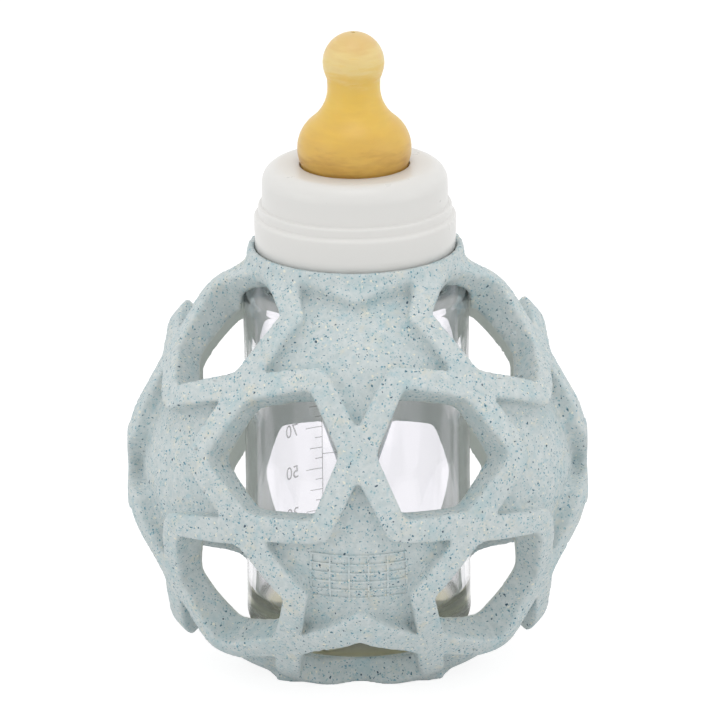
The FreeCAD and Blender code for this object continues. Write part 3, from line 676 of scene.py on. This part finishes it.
# the outside is a ball with a flat at each crossing, and under the ring a cone that touches the ball
above_middle = node(tree, MATH, height, size["Ball height"], operation="SUBTRACT")
outside = node(tree, MATH, reach, size["Ball radius"], operation="SUBTRACT")
arm_way = Vector((ARM_HIGH - ARM_LOW, ARM_LOW_RADIUS - ARM_HIGH_RADIUS)).normalized()
arms = node(tree, MATH, height, arm_way.y / arm_way.x, from_axis, operation="MULTIPLY_ADD")
arms = node(tree, MATH, arms, ARM_HIGH_RADIUS + ARM_HIGH * arm_way.y / arm_way.x, operation="SUBTRACT")
arms = node(tree, MATH, arms, arm_way.x, operation="MULTIPLY")
arm_foot = node(tree, MATH, size["Arm foot"], height, operation="SUBTRACT")
arms = node(tree, MATH, arms, arm_foot, operation="MAXIMUM")
flat_side = node(tree, VECTOR, folded, crossing_way, operation="DOT_PRODUCT", out="Value")
flat_side = node(tree, MATH, flat_side, size["Crossing flat"], operation="SUBTRACT")
outside = node(tree, MATH, outside, flat_side, size["Flat round"], operation="SMOOTH_MAX")
outside = node(tree, MATH, outside, arms, size["Flat round"], operation="SMOOTH_MIN")
outside = node(tree, MATH, outside, recess, size["Recess edge"], operation="SMOOTH_MAX")

# the inside is round too, with room above its middle for the glass and its shoulder
inside = node(tree, MATH, size["Hollow radius"], reach, operation="SUBTRACT")
room = node(tree, MATH, from_axis, size["Room radius"], operation="SUBTRACT")
room_top = node(tree, MATH, height, size["Room top"], operation="SUBTRACT")
room = node(tree, "ShaderNodeCombineXYZ", room, room_top)
room = node(tree, VECTOR, room, (0, 0, 0), operation="MAXIMUM")
room = node(tree, VECTOR, room, operation="LENGTH", out="Value")
room = node(tree, MATH, size["Room round"], room, operation="SUBTRACT")
room = node(tree, MATH, room, above_middle, operation="MINIMUM")
inside = node(tree, MATH, inside, room, operation="MAXIMUM")
ball = node(tree, MATH, outside, hole, size["Edge round"], operation="SMOOTH_MAX")
inside = node(tree, MATH, inside, hole, size["Edge round"], operation="SMOOTH_MAX")
ball = node(tree, MATH, ball, inside, operation="MAXIMUM")

# the ring runs into the ball with a soft fillet, and the recess of each upper star notches it
ring = node(tree, MATH, from_axis, size["Ring radius"], operation="SUBTRACT")
ring_foot = node(tree, MATH, size["Ring bottom"], height, operation="SUBTRACT")
ring = node(tree, MATH, ring, ring_foot, size["Edge round"], operation="SMOOTH_MAX")
ring_notch = node(tree, MATH, from_axis, size["Ring floor"], operation="SUBTRACT")
ring_notch = node(tree, MATH, recess, ring_notch, size["Recess edge"], operation="SMOOTH_MIN")
below_seat = node(tree, MATH, size["Ring seat"], height, operation="SUBTRACT")
ring_notch = node(tree, MATH, ring_notch, below_seat, size["Recess edge"], operation="SMOOTH_MIN")
ring = node(tree, MATH, ring, ring_notch, size["Recess edge"], operation="SMOOTH_MAX")
ball = node(tree, MATH, ball, ring, size["Blend round"], operation="SMOOTH_MIN")

# a cone trims the lower edge, so that the ball stands on its foot
trim = node(tree, MATH, height, size["Trim slope"], size["Trim radius"], operation="MULTIPLY_ADD")
trim = node(tree, MATH, from_axis, trim, operation="SUBTRACT")
trim = node(tree, MATH, trim, 1 / math.hypot(1, TRIM_SLOPE), operation="MULTIPLY")
ball = node(tree, MATH, ball, trim, size["Edge round"], operation="SMOOTH_MAX")

# the foot has three long and three short sides, and the hole in the base goes through it
foot = node(tree, MATH, height, size["Foot height"], operation="SUBTRACT")
for index in range(6):
    turn = math.radians(60 * index - 90)
    way = (math.cos(turn), math.sin(turn), 0)
    side = node(tree, VECTOR, spot, way, operation="DOT_PRODUCT", out="Value")
    far = size["Foot short side"] if index % 2 else size["Foot long side"]
    side = node(tree, MATH, side, far, operation="SUBTRACT")
    foot = node(tree, MATH, foot, side, size["Lip round"], operation="SMOOTH_MAX")
near_axis = node(tree, MATH, size["Base hole reach"], from_axis, operation="SUBTRACT")
base_hole = node(tree, MATH, hole, near_axis, operation="MINIMUM")
foot = node(tree, MATH, foot, base_hole, size["Edge round"], operation="SMOOTH_MAX")
ball = node(tree, MATH, ball, foot, size["Recess edge"], operation="SMOOTH_MIN")

# between the long sides the foot is lifted off the table by a low arch
for turn in (-30, 90, 210):
    way = (math.cos(math.radians(turn)), math.sin(math.radians(turn)), 0)
    out_there = node(tree, VECTOR, spot, way, operation="DOT_PRODUCT", out="Value")
    out_there = node(tree, MATH, out_there, size["Arch start"], operation="SUBTRACT")
    along = node(tree, VECTOR, way, fill={"Scale": out_there}, operation="SCALE")
    across = node(tree, VECTOR, spot, along, operation="SUBTRACT")
    arch_axis = (way[0] * ARCH_START, way[1] * ARCH_START, ARCH_MIDDLE)
    from_arch = node(tree, VECTOR, across, arch_axis, operation="DISTANCE", out="Value")
    arch = node(tree, MATH, size["Arch radius"], from_arch, operation="SUBTRACT")
    arch = node(tree, MATH, arch, out_there, operation="MINIMUM")
    ball = node(tree, MATH, ball, arch, size["Lip round"], operation="SMOOTH_MAX")

# the bore, the ring's flat top and the flat base cut through all of it
above_seat = node(tree, MATH, height, size["Ring seat"], operation="SUBTRACT")
bore_depth = node(tree, MATH, size["Ring bore"], from_axis, operation="SUBTRACT")
bore_depth = node(tree, MATH, bore_depth, above_seat, operation="MINIMUM")
neck_depth = node(tree, MATH, size["Neck bore"], from_axis, operation="SUBTRACT")
neck_depth = node(tree, MATH, neck_depth, above_middle, operation="MINIMUM")
bore_depth = node(tree, MATH, bore_depth, neck_depth, operation="MAXIMUM")
ball = node(tree, MATH, ball, bore_depth, size["Lip round"], operation="SMOOTH_MAX")
above_ring = node(tree, MATH, height, size["Ring top"], operation="SUBTRACT")
ball = node(tree, MATH, ball, above_ring, size["Lip round"], operation="SMOOTH_MAX")
under_base = node(tree, MATH, height, -1.0, operation="MULTIPLY")
ball = node(tree, MATH, ball, under_base, size["Lip round"], operation="SMOOTH_MAX")

# the mesh is taken from a grid of cubes a little larger than the ball
GRID_MARGIN = 3
solid = node(tree, MATH, ball, -1.0, operation="MULTIPLY")
margin = Vector((1, 1, 1)) * GRID_MARGIN * VOXEL
grid_low = Vector((-BALL_RADIUS, -BALL_RADIUS, 0)) - margin
grid_high = Vector((BALL_RADIUS, BALL_RADIUS, RING_TOP)) + margin
counts = [round(length / VOXEL) for length in grid_high - grid_low]
cloud = node(tree, "GeometryNodeVolumeCube", solid, -VOXEL, grid_low, grid_high, *counts)
shape = node(tree, "GeometryNodeVolumeToMesh", cloud, fill={"Threshold": 0.0, "Adaptivity": 0.01})
shape = node(tree, "GeometryNodeSetShadeSmooth", shape)
shape = node(tree, "GeometryNodeRealizeInstances", shape)

# Natural rubber, moulded from stock with ground rubber in it: matt, pale grey-green with soft teal clouds
# and close, uneven flecks of dark blue, teal and cream, each a fraction of a millimetre wide.
RUBBER = "#CBD2D2"
# the pale inside colour is painted light for the shaded inside faces of the ball
PAINTED_INSIDE_LIGHT = "#E0E5E0"

# each cloud: its tone and size, where its noise starts and where it is full, and how much it covers
CLOUDS = (
    ("#B9C4C5", 0.0016, 0.35, 0.65, 1.0), ("#A3BEC3", 0.0070, 0.52, 0.72, 0.6),
    ("#D9D3BF", 0.0045, 0.56, 0.72, 0.5), ("#97B9C2", 0.0024, 0.57, 0.70, 0.6),
)

# each kind of fleck: its tone and spacing, the share of places that have one, and its least and most width
FLECKS = (
    ("#DDDCCE", 0.0012, 0.45, 0.12, 0.28), ("#93B2B8", 0.0007, 0.72, 0.14, 0.36),
    ("#6A97A7", 0.0009, 0.55, 0.12, 0.29), ("#456F80", 0.0011, 0.48, 0.09, 0.23),
    ("#2C4A5E", 0.0019, 0.40, 0.07, 0.16),
)

RAGGED_SIZE, RAGGED_SHIFT = 0.0007, 0.0009
# where the painted light on the inside faces is full and where it ends, from the ball's middle, and the
# heights over which it fades out at the foot
PAINTED_LIGHT_FULL_REACH, PAINTED_LIGHT_END_REACH = BALL_HOLLOW_RADIUS + 0.0003, BALL_HOLLOW_RADIUS + 0.0009
PAINTED_LIGHT_FOOT_LOW, PAINTED_LIGHT_FOOT_HIGH = 0.007, 0.011
RUBBER_GRAIN = 0.0010
rubber, skin = new_material("flecked_natural_rubber")
place = node(skin, "ShaderNodeTexCoord", out="Object")
colour = RUBBER
for tone, span, low, high, most in CLOUDS:
    cloud = node(skin, "ShaderNodeTexNoise", place, fill={
        "Scale": 1 / span, "Detail": 4.0, "Roughness": 0.68})
    cloud = node(skin, "ShaderNodeMapRange", cloud, low, high, 0.0, most)
    colour = blend(skin, cloud, colour, tone)

# the flecks are cells of a cell pattern, picked by chance and made ragged by a fine noise
ragged = node(skin, "ShaderNodeTexNoise", place, fill={
    "Scale": 1 / RAGGED_SIZE, "Detail": 1.0}, out="Color")
ragged = node(skin, VECTOR, ragged, (0.5, 0.5, 0.5), operation="SUBTRACT")
ragged = node(skin, VECTOR, ragged, (RAGGED_SHIFT,) * 3, place, operation="MULTIPLY_ADD")
for tone, spacing, share, least, most in FLECKS:
    spots = node(skin, "ShaderNodeTexVoronoi", ragged, fill={"Scale": 1 / spacing})
    chance = node(skin, "ShaderNodeSeparateColor", spots.node.outputs["Color"])
    present = node(skin, MATH, chance, share, operation="LESS_THAN")
    girth = node(skin, "ShaderNodeMapRange", chance.node.outputs["Green"], 0.0, 1.0, least, most)
    mark = node(skin, MATH, spots, girth, operation="LESS_THAN")
    mark = node(skin, MATH, mark, present, operation="MULTIPLY")
    colour = blend(skin, mark, colour, tone)

# the inside faces are painted paler and without flecks: painted light that lifts the shade inside the
# ball, fading out at the foot
depth = node(skin, VECTOR, place, (0, 0, BALL_HEIGHT), operation="DISTANCE", out="Value")
depth = node(skin, "ShaderNodeMapRange", depth, PAINTED_LIGHT_FULL_REACH, PAINTED_LIGHT_END_REACH)
low = node(skin, "ShaderNodeSeparateXYZ", place, out="Z")
low = node(skin, "ShaderNodeMapRange", low, PAINTED_LIGHT_FOOT_LOW, PAINTED_LIGHT_FOOT_HIGH, 1.0, 0.0)
depth = node(skin, MATH, depth, low, operation="MAXIMUM")
colour = blend(skin, depth, PAINTED_INSIDE_LIGHT, colour)
grain = node(skin, "ShaderNodeTexNoise", place, fill={"Scale": 1 / RUBBER_GRAIN, "Detail": 3.0})
bump = node(skin, "ShaderNodeBump", fill={"Strength": 0.2, "Distance": 0.0003, "Height": grain})
rough = node(skin, "ShaderNodeMapRange", grain, 0.0, 1.0, 0.55, 0.75)
shader = node(skin, "ShaderNodeBsdfPrincipled", fill={
    "Base Color": colour, "Roughness": rough, "IOR": 1.52, "Normal": bump})
node(skin, "ShaderNodeOutputMaterial", fill={"Surface": shader})

shape = node(tree, "GeometryNodeSetMaterial", shape, fill={"Material": rubber})
node(tree, "NodeGroupOutput", shape)
sleeve = piece_from_tree("rubber_ball", tree, ball_sizes)
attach(sleeve, "sleeve")
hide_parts("star_ball_sleeve")

# Moulded grid: plain thin ribs that stand a little proud of the lower front star, five fields by five.
# They are cut into the ball's mould, so they are of the ball's own rubber.
STAR_STEEP = math.radians(100.81)
star_front = Vector((0, -math.sin(STAR_STEEP), math.cos(STAR_STEEP)))
star_up = Vector((0, math.cos(STAR_STEEP), math.sin(STAR_STEEP)))
dome_centre = Vector((0, 0, BALL_HEIGHT)) + star_front * DOME_OFFSET
grid_sizes = {
    "Ribs": 6, "Width": 0.0226, "Height": 0.0112, "Rib": 0.00042, "Proud": 0.00036,
    "Dome radius": DOME_RADIUS,
}
tree, size = new_shape_tree("moulded_grid_shape", grid_sizes)
index = node(tree, "GeometryNodeInputIndex")
last = node(tree, MATH, size["Ribs"], -1.0, operation="ADD")
share = node(tree, MATH, index, last, operation="DIVIDE")
share = node(tree, MATH, share, 0.5, operation="SUBTRACT")
thick = node(tree, MATH, size["Proud"], 2.0, operation="MULTIPLY")
ribs = node(tree, "GeometryNodeJoinGeometry")
for spread, length, upright, cuts in (
    ("Width", "Height", True, (2, 30, 2)), ("Height", "Width", False, (50, 2, 2)),
):
    aside = node(tree, MATH, share, size[spread], operation="MULTIPLY")
    reach = node(tree, MATH, size[length], size["Rib"], operation="ADD")
    across = (size["Rib"], reach, thick) if upright else (reach, size["Rib"], thick)
    spot = node(tree, "ShaderNodeCombineXYZ", *((aside, 0.0) if upright else (0.0, aside)))
    points = node(tree, "GeometryNodePoints", size["Ribs"])
    points = node(tree, "GeometryNodeSetPosition", points, fill={"Position": spot})
    rib = node(tree, "GeometryNodeMeshCube", node(tree, "ShaderNodeCombineXYZ", *across), *cuts)
    laid = node(tree, "GeometryNodeInstanceOnPoints", points, fill={"Instance": rib})
    tree.links.new(node(tree, "GeometryNodeRealizeInstances", laid), ribs.node.inputs[0])

# the flat ribs are bent over the dome that is the star's floor
flat = node(tree, "ShaderNodeSeparateXYZ", node(tree, "GeometryNodeInputPosition"))
way = star_front
for flat_way, side in (("X", Vector((1, 0, 0))), ("Y", star_up)):
    turn = node(tree, MATH, flat.node.outputs[flat_way], size["Dome radius"], operation="DIVIDE")
    ahead = node(tree, MATH, turn, operation="COSINE")
    ahead = node(tree, VECTOR, way, fill={"Scale": ahead}, operation="SCALE")
    aside = node(tree, MATH, turn, operation="SINE")
    aside = node(tree, VECTOR, side, fill={"Scale": aside}, operation="SCALE")
    way = node(tree, VECTOR, ahead, aside, operation="ADD")
far = node(tree, MATH, flat.node.outputs["Z"], size["Dome radius"], operation="ADD")
on_dome = node(tree, VECTOR, way, fill={"Scale": far}, operation="SCALE")
on_dome = node(tree, VECTOR, on_dome, dome_centre, operation="ADD")
shape = node(tree, "GeometryNodeSetPosition", ribs, fill={"Position": on_dome})
shape = node(tree, "GeometryNodeRealizeInstances", shape)
shape = node(tree, "GeometryNodeSetMaterial", shape, fill={"Material": rubber})
node(tree, "NodeGroupOutput", shape)
grid = piece_from_tree("moulded_grid", tree, grid_sizes)
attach(grid, "sleeve")

# Studio: a floor of white paper in a white room, a large soft light over the object and a weak one at
# each side. The paper glows only where it is seen, directly, in gloss or through glass, so that it is
# white and still takes a soft shadow.
WHITE = "#FFFFFF"
PAPER, PAPER_SEEN = "#EDEDED", "#8C8C8C"
PAPER_GLOW = 0.86
ROOM_FILL = 0.95
FLOOR_REACH = 4.0
LIGHTS_GOAL = Vector((0, 0, 0.06))


def background_ray(tree):
    """One for the rays that show the background as it is: from the camera, in gloss and through glass."""
    path = node(tree, "ShaderNodeLightPath")
    seen = node(tree, MATH, path, path.node.outputs["Is Glossy Ray"], operation="MAXIMUM")
    return node(tree, MATH, seen, path.node.outputs["Is Transmission Ray"], operation="MAXIMUM")


floor_material, tree = new_material("white_paper_floor")
paper = node(tree, "ShaderNodeBsdfDiffuse", linear(PAPER))
dim_paper = node(tree, "ShaderNodeBsdfDiffuse", linear(PAPER_SEEN))
glow = node(tree, "ShaderNodeEmission", linear(WHITE), PAPER_GLOW)
bright = node(tree, "ShaderNodeAddShader", dim_paper, glow)
mixed = node(tree, "ShaderNodeMixShader", background_ray(tree), paper, bright)
node(tree, "ShaderNodeOutputMaterial", mixed)
floor_mesh = bpy.data.meshes.new("studio_floor")
floor_corners = [(x * FLOOR_REACH, y * FLOOR_REACH, 0) for x, y in ((-1, -1), (1, -1), (1, 1), (-1, 1))]
floor_mesh.from_pydata(floor_corners, [], [(0, 1, 2, 3)])
floor_mesh.materials.append(floor_material)
studio_floor = bpy.data.objects.new("studio_floor", floor_mesh)
bpy.context.scene.collection.objects.link(studio_floor)

world = bpy.data.worlds.new("white_room")
bpy.context.scene.world = world
world.use_nodes = True
room = world.node_tree
room.nodes.clear()
fill_light = node(room, "ShaderNodeBackground", linear(WHITE), ROOM_FILL)
white = node(room, "ShaderNodeBackground", linear(WHITE), 1.0)
mixed = node(room, "ShaderNodeMixShader", background_ray(room), fill_light, white)
node(room, "ShaderNodeOutputWorld", mixed)

for name, spot, width, power in (
    ("top_softbox", (0.0, -0.15, 0.9), 0.45, 0.8),
    ("left_softbox", (-0.85, -0.35, 0.35), 0.6, 0.6),
    ("right_softbox", (0.85, -0.35, 0.35), 0.6, 0.6),
):
    lamp = bpy.data.lights.new(name, "AREA")
    lamp.size = width
    lamp.energy = power
    holder = bpy.data.objects.new(name, lamp)
    bpy.context.scene.collection.objects.link(holder)
    holder.location = spot
    holder.rotation_euler = (LIGHTS_GOAL - Vector(spot)).to_track_quat("-Z", "Y").to_euler()

# Camera: a long lens about two metres away that looks down on the object a little, as in the
# photograph.
CAMERA_PLACE = Vector((0.0008, -1.8966, 0.6812))
CAMERA_DOWN = math.radians(17.784)
CAMERA_ROLL = math.radians(-0.6)
LENS = 420.0
SENSOR_WIDTH = 36.0
lens = bpy.data.cameras.new("camera")
lens.lens = LENS
lens.sensor_width = SENSOR_WIDTH
camera = bpy.data.objects.new("camera", lens)
bpy.context.scene.collection.objects.link(camera)
turn = Matrix.Rotation(math.pi / 2 - CAMERA_DOWN, 4, "X") @ Matrix.Rotation(CAMERA_ROLL, 4, "Z")
camera.matrix_world = Matrix.Translation(CAMERA_PLACE) @ turn
bpy.context.scene.camera = camera
bpy.context.scene.view_settings.view_transform = "Standard"
